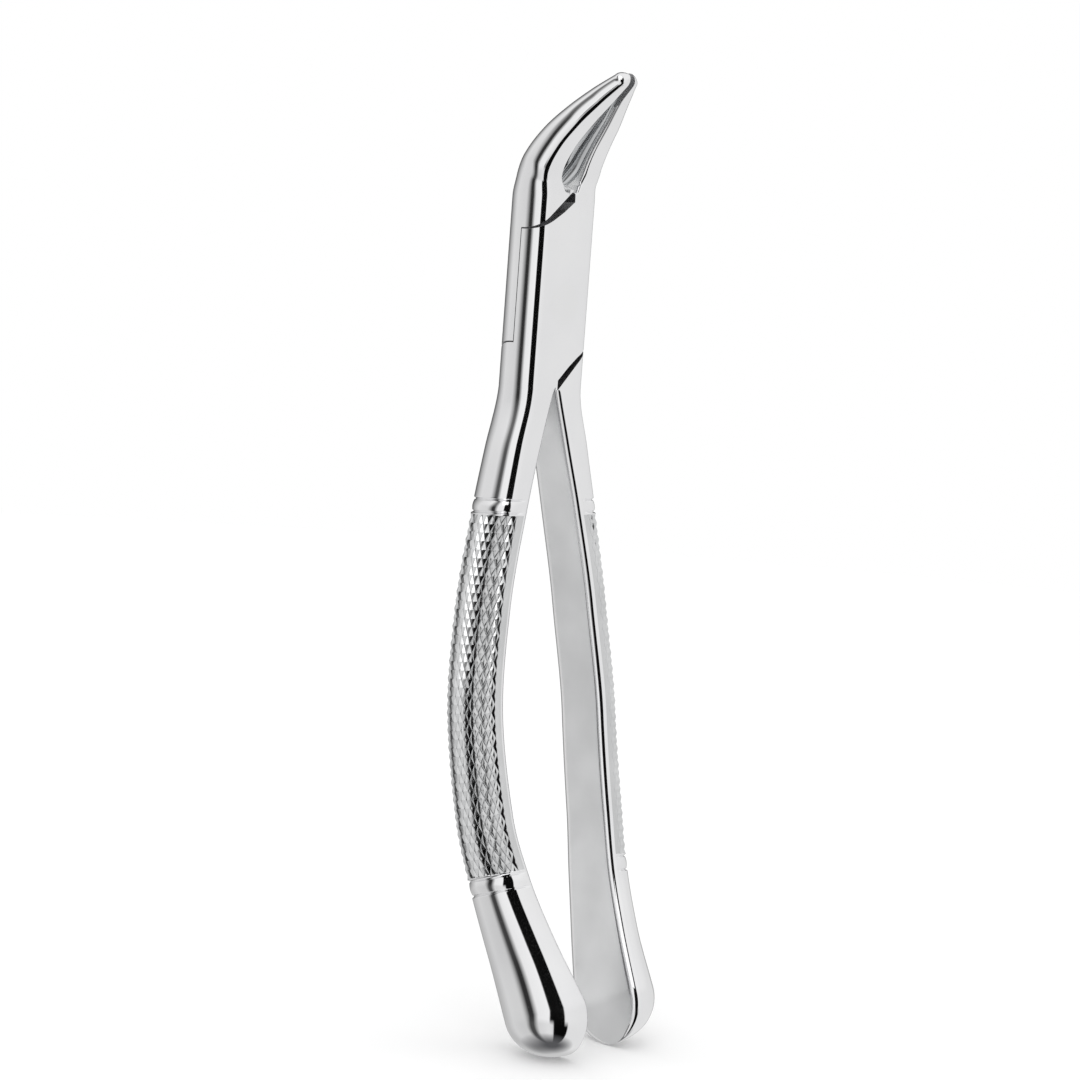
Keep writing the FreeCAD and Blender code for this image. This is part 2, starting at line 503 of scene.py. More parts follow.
    def finish_faces(self, limb: Object, column: np.ndarray, row: np.ndarray) -> None:
        """Gives each face its finish, and splits the chequered ones along their groove.

        Args:
            limb: The wrapped grid.
            column: The column of each vertex.
            row: The ring of each vertex.
        """
        count = len(limb.data.polygons)
        corners = np.empty(count * 4, int)
        limb.data.polygons.foreach_get("vertices", corners)
        corners = corners.reshape(-1, 4)
        columns = column[corners]
        rows = row[corners]
        left, low = columns.min(1), rows.min(1)
        hollow = np.array([ring.swell > self.hollow_seen for ring in self.rings])
        chequered = np.array([ring.row >= 0 for ring in self.rings])
        places = np.array([max(ring.row, 0.0) for ring in self.rings])
        finish = np.full(count, Face.POLISHED.value)
        finish[left < SHAPE.inner_cells] = Face.FLAT.value
        in_bowl = (left >= SHAPE.strip_cells) & (left < SHAPE.strip_cells + SHAPE.hollow_cells)
        finish[in_bowl & hollow[low] & hollow[low + 1]] = Face.HOLLOW.value
        outer = (left >= SHAPE.outer_start) & (left < SHAPE.outer_start + SHAPE.outer_cells)
        grip = outer & chequered[low] & chequered[low + 1]
        finish[grip] = Face.GRIP.value
        limb.data.polygons.foreach_set("material_index", finish)
        across = (left - SHAPE.outer_start + 0.5) / SHAPE.cell
        up = (places[low] + places[np.minimum(low + 1, len(places) - 1)]) / 2
        rising = to_whole(across - up) < to_whole(across + up)
        diagonal = (columns[:, 0] - columns[:, 2]) * (rows[:, 0] - rows[:, 2]) > 0
        for chosen, method in ((grip & (rising == diagonal), "FIXED"), (grip, "FIXED_ALTERNATE")):
            self.split(limb, chosen, method)

    @staticmethod
    def split(limb: Object, chosen: np.ndarray, method: str) -> None:
        """Splits the chosen cells in two, if they aren't split yet.

        Args:
            limb: The mesh.
            chosen: Which of the first faces to split, used only while all are cells.
            method: The diagonal, as Blender names it.
        """
        polygons = limb.data.polygons
        if len(polygons) != len(chosen):
            sides = np.empty(len(polygons), int)
            finish = np.empty(len(polygons), int)
            polygons.foreach_get("loop_total", sides)
            polygons.foreach_get("material_index", finish)
            chosen = (sides == 4) & (finish == Face.GRIP.value)
        if not chosen.any():
            return
        with editing(limb, "FACE"):
            bpy.ops.mesh.select_all(action="DESELECT")
        polygons.foreach_set("select", chosen)
        with editing(limb, "FACE"):
            bpy.ops.mesh.quads_convert_to_tris(quad_method=method, ngon_method="BEAUTY")


def coordinates(mesh: Mesh) -> np.ndarray:
    """The mesh's vertices as rows."""
    values = np.empty(len(mesh.vertices) * 3, np.float32)
    mesh.vertices.foreach_get("co", values)
    return values.reshape(-1, 3)


# ---- mesh helpers


def deselect_all() -> None:
    """Leaves nothing selected."""
    for obj in bpy.context.selected_objects:
        obj.select_set(False)


def select_only(obj: Object) -> None:
    """Selects one object and makes it active."""
    deselect_all()
    obj.select_set(True)
    bpy.context.view_layer.objects.active = obj


@contextmanager
def editing(obj: Object, what: str = "VERT") -> Iterator[None]:
    """Edit mode on one object.

    Args:
        obj: The object to edit.
        what: What is selected: VERT, EDGE or FACE.
    """
    select_only(obj)
    bpy.ops.object.mode_set(mode="EDIT")
    bpy.ops.mesh.select_mode(type=what)
    yield
    bpy.ops.object.mode_set(mode="OBJECT")


def merge_near(threshold: float) -> None:
    """Merges what is nearer than the threshold, in edit mode."""
    bpy.ops.mesh.select_all(action="SELECT")
    bpy.ops.mesh.remove_doubles(threshold=threshold)


def select_open() -> None:
    """Selects only the open edges, in edit mode."""
    bpy.ops.mesh.select_all(action="DESELECT")
    bpy.ops.mesh.select_non_manifold()


def face_outwards() -> None:
    """Turns every face outwards, in edit mode."""
    bpy.ops.mesh.select_all(action="SELECT")
    bpy.ops.mesh.normals_make_consistent(inside=False)


def combine(obj: Object, other: Object, operation: str) -> None:
    """Joins another closed mesh to an object, or cuts it away, and removes the other.

    Args:
        obj: The object that changes.
        other: The mesh to join or cut with.
        operation: UNION or DIFFERENCE.
    """
    modifier = obj.modifiers.new(operation.lower(), "BOOLEAN")
    modifier.operation = operation
    modifier.solver = "MANIFOLD"
    modifier.object = other
    select_only(obj)
    bpy.ops.object.modifier_apply(modifier=modifier.name)
    bpy.data.objects.remove(other)


def prism(name: str, outline: list[Pair], low: float, high: float) -> Object:
    """An XZ outline drawn along Y.

    Args:
        name: The object's name.
        outline: The corners in millimetres.
        low: Where it starts along Y.
        high: Where it ends.

    Returns:
        The closed mesh.
    """
    deselect_all()
    bpy.ops.mesh.primitive_circle_add(vertices=len(outline), fill_type="NGON")
    cutter = bpy.context.object
    cutter.name = name
    for vertex, (x, z) in zip(cutter.data.vertices, outline):
        vertex.co = Vector((x, low, z)) * MM
    with editing(cutter, "FACE"):
        bpy.ops.mesh.select_all(action="SELECT")
        bpy.ops.mesh.extrude_region_move(TRANSFORM_OT_translate={"value": (0, (high - low) * MM, 0)})
        face_outwards()
    return cutter


def turned_profile(name: str, profile: list[Pair], steps: int) -> Object:
    """A profile of radius and Y spun once round the rivet's axis.

    Args:
        name: The object's name.
        profile: The corners in millimetres, from the axis and back to it.
        steps: The number of steps round.

    Returns:
        The closed mesh.
    """
    deselect_all()
    bpy.ops.mesh.primitive_circle_add(vertices=len(profile), fill_type="NOTHING")
    turned = bpy.context.object
    turned.name = name
    for vertex, (radius, y) in zip(turned.data.vertices, profile):
        vertex.co = Vector((radius, y, 0)) * MM
    with editing(turned):
        bpy.ops.mesh.select_all(action="SELECT")
        bpy.ops.mesh.spin(steps=steps, angle=math.tau, center=(0, 0, 0), axis=(0, 1, 0))
        merge_near(SPIN_SEAM)
        bpy.ops.mesh.select_all(action="DESELECT")
        bpy.ops.mesh.select_mode(type="EDGE")
        bpy.ops.mesh.select_non_manifold(use_boundary=False, use_wire=True, use_multi_face=False)
        bpy.ops.mesh.delete(type="EDGE")
        face_outwards()
    return turned


def tidy_mesh(obj: Object) -> None:
    """Merges the slivers that joining and cutting leave along flush faces."""
    with editing(obj):
        merge_near(SLIVER)
        bpy.ops.mesh.dissolve_degenerate(threshold=SLIVER)
        select_open()
    log.info("%s: %d open edges", obj.name, sum(edge.select for edge in obj.data.edges))


def shade(obj: Object) -> None:
    """Smooth shading that keeps the real edges sharp."""
    select_only(obj)
    bpy.ops.object.shade_smooth_by_angle(angle=SMOOTH_ANGLE)


# ---- finishes


class Nodes:
    """A small builder for one node tree."""

    def __init__(self, tree: NodeTree) -> None:
        """Keeps the tree."""
        self.tree = tree

    @classmethod
    def emptied(cls, owner: Material | World) -> "Nodes":
        """The builder of a material's or a world's own tree, emptied."""
        owner.use_nodes = True
        owner.node_tree.nodes.clear()
        return cls(owner.node_tree)

    def add(self, kind: str, inputs: dict | None = None, **settings: object) -> Node:
        """Adds a node.

        Args:
            kind: The node's type, without ShaderNode.
            inputs: Values or output sockets for its inputs, by name or number.
            settings: Values for its own properties.

        Returns:
            The node.
        """
        node = self.tree.nodes.new("ShaderNode" + kind)
        for name, value in settings.items():
            setattr(node, name, value)
        for key, value in (inputs or {}).items():
            if isinstance(value, NodeSocket):
                self.tree.links.new(value, node.inputs[key])
            else:
                node.inputs[key].default_value = value
        return node

    def math(self, operation: str, first: object, second: object = 0.0) -> NodeSocket:
        """One Math node and its output."""
        return self.add("Math", {0: first, 1: second}, operation=operation).outputs[0]

    def mix(self, factor: object, first: object, second: object) -> NodeSocket:
        """One colour Mix node and its output."""
        return self.add("Mix", {"Factor": factor, 6: first, 7: second}, data_type="RGBA").outputs[2]

    def give(self, kind: str, value: NodeSocket) -> None:
        """Adds an output node by its full type name, and gives it a value."""
        self.tree.links.new(value, self.tree.nodes.new(kind).inputs[0])

    def ramp(self, value: object, stops: list[tuple[float, tuple]]) -> NodeSocket:
        """A colour ramp and its colour output.

        Args:
            value: What drives it.
            stops: Places from 0 to 1, each with its colour.

        Returns:
            The colour.
        """
        node = self.add("ValToRGB", {"Fac": value})
        band = node.color_ramp.elements
        while len(band) < len(stops):
            band.new(0.5)
        for element, (place, colour) in zip(band, stops):
            element.position = place
            element.color = colour
        return node.outputs["Color"]


def new_group(name: str, takes: dict[str, float], gives: str) -> tuple[Nodes, Node, NodeSocket]:
    """A shader node group with value sockets, ready for its nodes.

    Args:
        name: The group's name.
        takes: Its inputs with their values.
        gives: Its output.

    Returns:
        The group's builder, its input node and the place on the object.
    """
    group = bpy.data.node_groups.new(name, "ShaderNodeTree")
    for label, value in takes.items():
        socket = group.interface.new_socket(label, in_out="INPUT", socket_type="NodeSocketFloat")
        socket.default_value = value
    group.interface.new_socket(gives, in_out="OUTPUT", socket_type="NodeSocketFloat")
    nodes = Nodes(group)
    return nodes, group.nodes.new("NodeGroupInput"), nodes.add("TexCoord").outputs["Object"]


class SteelTexture:
    """The node groups that every steel finish uses."""

    hair = (14.0, 14.0, 0.5)
    hair_turns = ((0.5, 3.0), (-0.9, 11.0))
    hair_level = 0.8
    hair_gain = 0.12
    hair_contrast = 25.0
    patch_low, patch_high = 0.35, 0.65

    def __init__(self) -> None:
        """Makes the groups."""
        self.grain = self.make_grain()
        self.scratches = self.make_scratches()
        self.patina = self.make_patina()

    def make_grain(self) -> NodeTree:
        """Fine lines left by the belt, along the instrument or round it."""
        nodes, given, place = new_group("belt_grain", {"Across": 5000.0, "Along": 60.0}, "Height")
        scale = nodes.add("CombineXYZ", {0: given.outputs[0], 1: given.outputs[0], 2: given.outputs[1]})
        spread = nodes.add("VectorMath", {0: place, 1: scale.outputs[0]}, operation="MULTIPLY")
        fine = nodes.add("TexNoise", {"Vector": spread.outputs[0], "Scale": 1.0, "Detail": 3.0})
        nodes.give("NodeGroupOutput", nodes.math("SUBTRACT", fine.outputs["Fac"], 0.5))
        return nodes.tree

    def make_scratches(self) -> NodeTree:
        """Sparse hair-thin handling marks in two directions."""
        takes = {"Density": 0.5, "Scale": 260.0}
        nodes, given, place = new_group("handling_marks", takes, "Mask")
        found = []
        for turn, seed in self.hair_turns:
            mapped = nodes.add("Mapping", {"Vector": place, "Rotation": (turn, turn, 0.4)})
            stretch = {0: mapped.outputs[0], 1: self.hair}
            thin = nodes.add("VectorMath", stretch, operation="MULTIPLY")
            moved = nodes.add("VectorMath", {0: thin.outputs[0], 1: (seed, seed, seed)}, operation="ADD")
            noise = nodes.add(
                "TexNoise", {"Vector": moved.outputs[0], "Scale": given.outputs[1], "Detail": 1.0}
            )
            low = nodes.math("MULTIPLY", given.outputs[0], self.hair_gain)
            low = nodes.math("SUBTRACT", self.hair_level, low)
            over = nodes.math("SUBTRACT", noise.outputs["Fac"], low)
            sharp = nodes.math("MULTIPLY", over, self.hair_contrast)
            found.append(nodes.add("Clamp", {"Value": sharp}).outputs[0])
        nodes.give("NodeGroupOutput", nodes.math("MAXIMUM", *found))
        return nodes.tree

    def make_patina(self) -> NodeTree:
        """Soft uneven patches of handling and cleaning."""
        nodes, given, place = new_group("patina", {"Scale": 90.0}, "Mask")
        cloud = nodes.add("TexNoise", {"Vector": place, "Scale": given.outputs[0], "Detail": 4.0})
        span = {"Value": cloud.outputs["Fac"], "From Min": self.patch_low, "From Max": self.patch_high}
        nodes.give("NodeGroupOutput", nodes.add("MapRange", span).outputs[0])
        return nodes.tree


@dataclass(frozen=True)
class Steel:
    """One finish of stainless steel."""

    name: str
    colour: Triple
    worn: Triple
    roughness: float
    spread: float
    grain: float
    across: float = 5000.0
    along: float = 60.0
    marks: float = 0.4
    mark_depth: float = 0.5
    mark_haze: float = 0.12

    def build(self, texture: SteelTexture) -> Material:
        """Makes the material.

        Args:
            texture: The shared node groups.

        Returns:
            The material.
        """
        material = bpy.data.materials.new(self.name)
        nodes = Nodes.emptied(material)
        grain = self.grouped(nodes, texture.grain, {"Across": self.across, "Along": self.along})
        marks = self.grouped(nodes, texture.scratches, {"Density": self.marks})
        patina = self.grouped(nodes, texture.patina, {})
        tint = nodes.mix(patina, (*self.colour, 1.0), (*self.worn, 1.0))
        haze = nodes.math("MULTIPLY", patina, self.spread)
        worn = nodes.math("MULTIPLY", marks, self.mark_haze)
        fine = nodes.math("MULTIPLY", grain, self.spread)
        rough = nodes.math("ADD", nodes.math("ADD", haze, worn), nodes.math("ADD", fine, self.roughness))
        height = nodes.math("SUBTRACT", grain, nodes.math("MULTIPLY", marks, self.mark_depth))
        bump = nodes.add("Bump", {"Height": height, "Strength": 1.0, "Distance": self.grain * MM})
        shader = nodes.add(
            "BsdfPrincipled",
            {"Base Color": tint, "Roughness": rough, "Metallic": 1.0, "Normal": bump.outputs[0]},
        )
        nodes.give("ShaderNodeOutputMaterial", shader.outputs[0])
        return material

    @staticmethod
    def grouped(nodes: Nodes, group: NodeTree, values: dict) -> NodeSocket:
        """Places a group in the material and gives its first output."""
        node = nodes.add("Group", node_tree=group)
        for label, value in values.items():
            node.inputs[label].default_value = value
        return node.outputs[0]


@dataclass(frozen=True)
class Finishes:
    """The finishes of the whole instrument, with painted shade in the colours of the hollow and the
    grip.
    """

    polished: Steel = Steel("polished_steel", (0.93, 0.93, 0.935), (0.9, 0.9, 0.91), 0.045, 0.03, 0.0006)
    flat: Steel = Steel(
        "belt_ground_steel", (0.93, 0.935, 0.94), (0.89, 0.895, 0.9), 0.32, 0.1, 0.006, marks=0.6
    )
    # Painted shade: both colours of the beaks' hollow are darkened to stand in for the shade inside the
    # hollow.
    hollow: Steel = Steel(
        "hollow_painted_shade_steel", (0.66, 0.67, 0.68), (0.58, 0.59, 0.6), 0.09, 0.015, 0.0003, 9000.0, 9000.0, 0.05
    )
    # Painted shade: the grip's darker colours stand in for the shade among its diamonds and grooves.
    grip: Steel = Steel("chequered_painted_shade_steel", (0.74, 0.745, 0.75), (0.66, 0.665, 0.67), 0.1, 0.06, 0.001)
    ground: Steel = Steel("lap_ground_steel", (0.5, 0.5, 0.51), (0.42, 0.42, 0.43), 0.35, 0.1, 0.004)
    rivet: Steel = Steel("rivet_steel", (0.92, 0.92, 0.925), (0.9, 0.9, 0.905), 0.06, 0.03, 0.0008)

    def slots(self, texture: SteelTexture) -> list[Material]:
        """The materials of a half in the order of Face."""
        order = (self.polished, self.flat, self.hollow, self.grip, self.ground)
        return [finish.build(texture) for finish in order]


# ---- sub-assemblies


@dataclass(frozen=True)
class Handle:
    """A chequered handle that ends in a half-round palm rest."""

    end: float = 124.5
    turn_in: float = 8.0
    rings: tuple[float, ...] = (0.184, 0.204, 0.790, 0.812)
    ring_half: float = 0.35
    ring_depth: float = 0.42
    bead_drop: float = 0.22
    edge: float = 1.35
    coarse: float = 1.0
    fine: float = 0.1
    grip_margin: float = 0.55
    ring_margin: float = 0.5
    ring_clear: float = 0.6
    least_gap: float = 0.02
    tail_rings: int = 27
    block_rings: int = 9
    end_rings: int = 18

    def stations(self) -> list[Station]:
        """The sections from the joint to the centre of the rounded end."""
        root = JOINT.handle_root
        shares = (
            (0.098, -0.3, 3.3, 7.2, 9.3, 0.6),
            (0.199, -0.8, 6.4, 6.8, 9.9, 0.52),
            (0.364, -2.0, 10.5, 6.7, 10.4, 0.4),
            (0.547, -4.4, 12.8, 6.7, 10.6, 0.33),
            (0.702, -7.9, 12.2, 7.0, 10.9, 0.3),
            (0.803, -11.3, 10.6, 7.1, 11.7, 0.27),
            (0.904, -15.8, 8.5, 7.6, 13.6, 0.2),
            (1.0, -20.8, 6.2, 9.4, 16.0, 0.15),
        )
        first = Station(-root, 0.0, JOINT.fork, JOINT.half - JOINT.fork, JOINT.thickness, JOINT.flat)
        return [first] + [Station(-root - s * (self.end - root), *rest) for s, *rest in shares]

    def groove(self, s: float, centres: list[float]) -> float:
        """How deep the ring grooves are at a distance along the handle."""
        depth = 0.0
        for centre in centres:
            reach = abs(s - centre) / self.ring_half
            if reach < 1:
                depth = max(depth, self.ring_depth * (1 + math.cos(math.pi * reach)) / 2)
        for first, second in (centres[:2], centres[2:]):
            if first < s < second:
                u = (s - first) / (second - first)
                depth = max(depth, self.bead_drop * (1 - math.sin(math.pi * u)))
        return depth

    def run(self, grip: Chequering) -> list[Ring]:
        """Every ring from the top of the joint to the end.

        Args:
            grip: The chequering.

        Returns:
            The rings.
        """
        spine = Spine(self.stations())
        root = JOINT.handle_root
        centres = [spine.distance(-root - share * (self.end - root)) for share in self.rings]
        first, last = centres[1] + self.grip_margin, centres[2] - self.grip_margin
        rows = grip.rows * SHAPE.cell
        places = [(s, -1.0) for s in np.arange(0, centres[0] - self.ring_clear, self.coarse)]
        start, stop = centres[0] - self.ring_margin, centres[3] + self.ring_margin
        places += [(s, -1.0) for s in np.arange(start, first - self.least_gap, self.fine)]
        places += [(first + (last - first) * k / rows, k / SHAPE.cell) for k in range(rows + 1)]
        places += [(s, -1.0) for s in np.arange(last + self.fine, stop, self.fine)]
        tail = np.linspace(centres[3] + self.ring_clear, spine.length, self.tail_rings)
        places += [(s, -1.0) for s in tail]
        heights = np.linspace(JOINT.beak_root + 0.1, -root + 0.4, self.block_rings)
        sections = [JOINT.block(float(z), JOINT.fork) for z in heights]
        rings = [Ring(part, (0.0, -1.0), reach=JOINT.overlap, edge=self.edge) for part in sections]
        for s, row in places:
            along = spine.direction(float(s), self.turn_in)
            cut = self.groove(s, centres)
            rings.append(Ring(spine.at(float(s)), along, row=row, cut=cut, edge=self.edge))
        return rings + rounded_end(rings[-1], self.end_rings)


@dataclass(frozen=True)
class Beak:
    """A hollowed beak that curves to the front."""

    top: float = 39.6
    bend_start: float = 12.5
    neck: float = 18.6
    turn_in: float = 12.0
    inset: float = 0.05
    hollow_low: float = 0.04
    hollow_high: float = 0.92
    step: float = 0.35
    end_rings: int = 12
    block_rings: int = 9

    def stations(self) -> list[Station]:
        """The sections from the joint to the tip."""
        root = JOINT.beak_root
        gap = JOINT.beak_reach + self.inset
        shares = (
            (0.077, -0.32, 2.0, 5.95, 7.95, 0.56),
            (0.247, -1.6, 2.8, 5.4, 6.9, 0.55),
            (0.454, -4.25, 2.5, 5.0, 5.8, 0.58),
            (0.66, -7.9, 1.8, 4.5, 4.8, 0.54),
            (0.84, -11.4, 0.8, 3.7, 3.9, 0.48),
            (1.0, -14.9, 0.2, 2.3, 2.8, 0.4),
        )
        first = [JOINT.block(self.bend_start, gap), JOINT.block(self.neck, gap)]
        return first + [Station(root + s * (self.top - root), *rest) for s, *rest in shares]

    def run(self) -> list[Ring]:
        """Every ring from the foot of the joint to the tip."""
        spine = Spine(self.stations())
        root = JOINT.beak_root
        low = spine.distance(root + self.hollow_low * (self.top - root))
        high = spine.distance(root + self.hollow_high * (self.top - root))
        heights = np.linspace(-JOINT.handle_root - 0.1, self.bend_start - 0.3, self.block_rings)
        gap = self.stations()[0].gap
        rings = [Ring(JOINT.block(float(z), gap), (0.0, 1.0), reach=JOINT.overlap) for z in heights]
        for s in np.linspace(0, spine.length, round(spine.length / self.step) + 1):
            u = min(1.0, max(0.0, (float(s) - low) / (high - low)))
            swell = 2 * math.sqrt(u * (1 - u))
            along = spine.direction(float(s), self.turn_in)
            station = spine.at(float(s))
            reach = JOINT.overlap if station.height < root else 0.0
            rings.append(Ring(station, along, swell=swell, reach=reach))
        return rings + rounded_end(rings[-1], self.end_rings)


def rounded_end(last: Ring, count: int) -> list[Ring]:
    """The rings of a half-round end, which keeps its inner face flat.

    Args:
        last: The last full ring.
        count: How many rings to give.

    Returns:
        The rings, smaller and smaller.
    """
    rings = []
    for turn in np.radians(np.linspace(0, NEARLY_FLAT, count + 1)[1:]):
        station = last.station
        size = math.cos(turn)
        smaller = replace(station, depth=station.depth * size, width=station.width * size)
        shift = station.width / 2 * math.sin(turn)
        rings.append(replace(last, station=smaller, shift=shift, cut=0.0, swell=0.0))
    return rings


@dataclass(frozen=True)
class Rivet:
    """The flush rivet that the halves turn on."""

    radius: float = 2.5
    head: float = 3.7
    head_depth: float = 1.2
    fit: float = 0.03
    steps: int = 96

    def shape(self, name: str, clearance: float, over: float) -> Object:
        """The rivet, or what it needs cut away.

        Args:
            name: The object's name.
            clearance: How much larger it is all round.
            over: How far it stands past each face.

        Returns:
            The closed mesh.
        """
        face = JOINT.thickness / 2
        neck = face - self.head_depth - clearance
        head, shank = self.head + clearance, self.radius + clearance
        front = [(0.0, -face - over), (head, -face - over)]
        if over:
            front.append((head, -face))
        profile = front + [(shank, -neck), (shank, neck)]
        profile += [(radius, -y) for radius, y in reversed(front)]
        return turned_profile(name, profile, self.steps)

    def build(self, material: Material) -> Object:
        """The rivet itself, dressed, hung on the front body and shown in place of the CAD pin."""
        rivet = self.shape("rivet", 0.0, 0.0)
        rivet.data.materials.append(material)
        shade(rivet)
        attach(rivet, "front")
        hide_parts("pivot_pin")
        return rivet


@dataclass(frozen=True)
class Half:
    """One forged half: its layer of the joint, its handle and its beak."""

    name: str
    body: str
    node: str
    steel: str
    facing: int
    beyond: float = 3.0

    def cutter(self, name: str, outline: list[Pair], rear: bool) -> Object:
        """A prism through one layer of the joint, turned for this half.

        Args:
            name: The object's name.
            outline: The corners for the front half.
            rear: Whether it goes through the layer that the half shares at the rear.

        Returns:
            The closed mesh.
        """
        span = (-JOINT.lap, FAR) if rear else (-FAR, JOINT.lap)
        low, high = sorted(value * self.facing for value in span)
        return prism(name, [(x * self.facing, z) for x, z in outline], low, high)

    def cutters(self) -> list[Object]:
        """What the other half takes of the block: beak, handle and the other layer."""
        out = JOINT.half
        slope = (JOINT.beak_in - JOINT.beak_out) / (JOINT.beak_reach + out)
        fall = (JOINT.handle_in - JOINT.handle_out) / (JOINT.fork + out)
        crossing = JOINT.beak_neck - JOINT.beak_reach
        side = out + self.beyond
        beak_edge = JOINT.beak_out - slope * self.beyond
        beak = [
            (-FAR, beak_edge),
            (-side, beak_edge),
            *JOINT.seam((-out, JOINT.beak_out), (JOINT.beak_reach, JOINT.beak_in), -1.0),
            (JOINT.beak_reach, FAR),
            (-FAR, FAR),
        ]
        handle_edge = -JOINT.handle_out + fall * self.beyond
        handle = [
            (FAR, handle_edge),
            (side, handle_edge),
            *JOINT.seam((out, -JOINT.handle_out), (-JOINT.fork, -JOINT.handle_in), 1.0),
            (-JOINT.fork, -FAR),
            (FAR, -FAR),
        ]
        low = JOINT.beak_out + JOINT.shoulder
        rise = (JOINT.beak_root - low) / (out - crossing)
        deep = -JOINT.handle_out - JOINT.shoulder
        sink = (deep + JOINT.handle_root) / (out - JOINT.fork)
        low_edge, high_edge = deep + sink * self.beyond, low - rise * self.beyond
        layer = [
            (-FAR, low_edge),
            (-side, low_edge),
            (-JOINT.fork, -JOINT.handle_root),
            (-JOINT.fork, -FAR),
            (FAR, -FAR),
            (FAR, high_edge),
            (side, high_edge),
            (crossing, JOINT.beak_root),
            (crossing, FAR),
            (-FAR, FAR),
        ]
        return [
            self.cutter(self.name + "_cut_beak", beak, False),
            self.cutter(self.name + "_cut_handle", handle, False),
            self.cutter(self.name + "_cut_layer", layer, True),
        ]

    def build(self, handle: Handle, beak: Beak, rivet: Rivet, slots: list[Material]) -> Object:
        """Args:
            handle: The handle's sizes.
            beak: The beak's sizes.
            rivet: The rivet whose hole goes through it.
            slots: The materials in the order of Face.

        Returns:
            The finished piece.
        """
        grip = Chequering()
        beak_side, handle_side = Side(self.facing), Side(-self.facing)
        half = Limb(self.name, handle.run(grip), grip).build(handle_side, slots)
        other = Limb(self.name + "_beak", beak.run(), grip).build(beak_side, slots)
        combine(half, other, "UNION")
        clearance = 0.0 if self.facing > 0 else rivet.fit
        for cutter in self.cutters() + [rivet.shape(self.name + "_hole", clearance, 1.0)]:
            for material in slots:
                cutter.data.materials.append(material)
            indices = [Face.GROUND.value] * len(cutter.data.polygons)
            cutter.data.polygons.foreach_set("material_index", indices)
            combine(half, cutter, "DIFFERENCE")
        tidy_mesh(half)
        shade(half)
        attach(half, self.body)
        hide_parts(self.node)
        return half


# ---- studio


